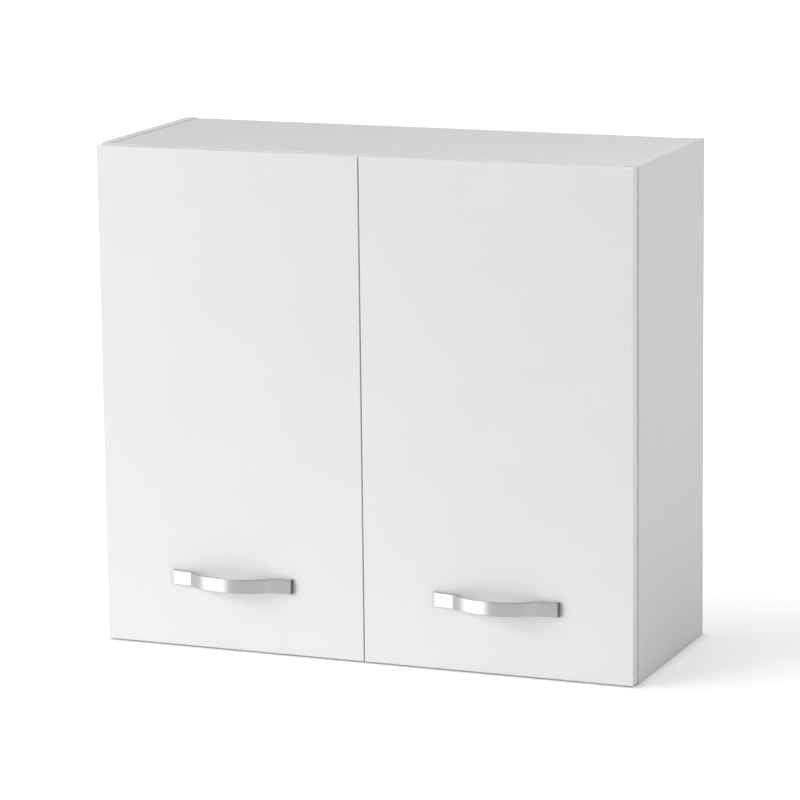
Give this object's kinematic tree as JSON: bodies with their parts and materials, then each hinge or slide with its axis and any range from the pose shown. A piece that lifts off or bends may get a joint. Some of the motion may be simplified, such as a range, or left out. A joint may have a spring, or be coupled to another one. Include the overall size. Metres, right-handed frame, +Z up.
{
  "type": "hanging wall cabinet",
  "caption": "Square-edged white wall cabinet with overlay doors on concealed hinges, satin bow handles, loose shelves and hanging brackets for a wall.",
  "frame": {"origin": "centre of the whole cabinet's footprint, handles included, on the plane of the sides' lower edges", "axes": "+Z up, -Y out of the doors, +Y to the wall, +X to the right when facing the doors"},
  "size_m": [0.8, 0.34, 0.72],
  "materials": {
    "laminate_board": "smooth matte white laminate",
    "back_board": "thin white hardboard",
    "edge_band": "white edge band",
    "satin_chrome": "satin brushed chrome plate",
    "plated_steel": "bright plated steel",
    "zinc": "die-cast zinc",
    "white_plastic": "moulded white plastic",
    "beech": "fluted beech",
    "clear_buffer": "soft translucent buffer"
  },
  "bodies": {
    "carcass": {"side_left": "laminate_board", "side_right": "laminate_board", "top_panel": "laminate_board", "bottom_panel": "laminate_board", "back_panel": "back_board", "side_front_bands": "edge_band", "side_top_bands": "edge_band", "cross_panel_bands": "edge_band", "lower_shelf": "laminate_board", "upper_shelf": "laminate_board", "shelf_pins": "plated_steel", "dowels": "beech", "cam_bolts": "plated_steel", "cams": "zinc", "hinge_plate_screws": "plated_steel", "hinge_arm_screws": "plated_steel", "hanger_screws": "plated_steel", "hanger_housing_left": "white_plastic", "hanger_hook_left": "plated_steel", "wall_plate_left": "plated_steel", "hinge_arm_left_lower": "plated_steel", "hinge_plate_left_lower": "plated_steel", "hinge_arm_left_upper": "plated_steel", "hinge_plate_left_upper": "plated_steel", "hanger_housing_right": "white_plastic", "hanger_hook_right": "plated_steel", "wall_plate_right": "plated_steel", "hinge_arm_right_lower": "plated_steel", "hinge_plate_right_lower": "plated_steel", "hinge_arm_right_upper": "plated_steel", "hinge_plate_right_upper": "plated_steel"},
    "left_door": {"door_left": "laminate_board", "door_band_left": "edge_band", "door_buffers_left": "clear_buffer", "handle_left": "satin_chrome", "handle_screws_left": "plated_steel", "hinge_pins_left": "plated_steel", "cup_screws_left": "plated_steel", "hinge_cup_left_lower": "plated_steel", "hinge_cup_left_upper": "plated_steel"},
    "right_door": {"door_right": "laminate_board", "door_band_right": "edge_band", "door_buffers_right": "clear_buffer", "handle_right": "satin_chrome", "handle_screws_right": "plated_steel", "hinge_pins_right": "plated_steel", "cup_screws_right": "plated_steel", "hinge_cup_right_lower": "plated_steel", "hinge_cup_right_upper": "plated_steel"}
  },
  "joints": [
    {"name": "left_door_hinge", "type": "hinge", "parent": "carcass", "child": "left_door", "pos_m": [-0.3924, -0.1317, 0.36], "axis": [0, 0, -1], "range_deg": [0, 95]},
    {"name": "right_door_hinge", "type": "hinge", "parent": "carcass", "child": "right_door", "pos_m": [0.3924, -0.1317, 0.36], "axis": [0, 0, 1], "range_deg": [0, 95]}
  ]
}
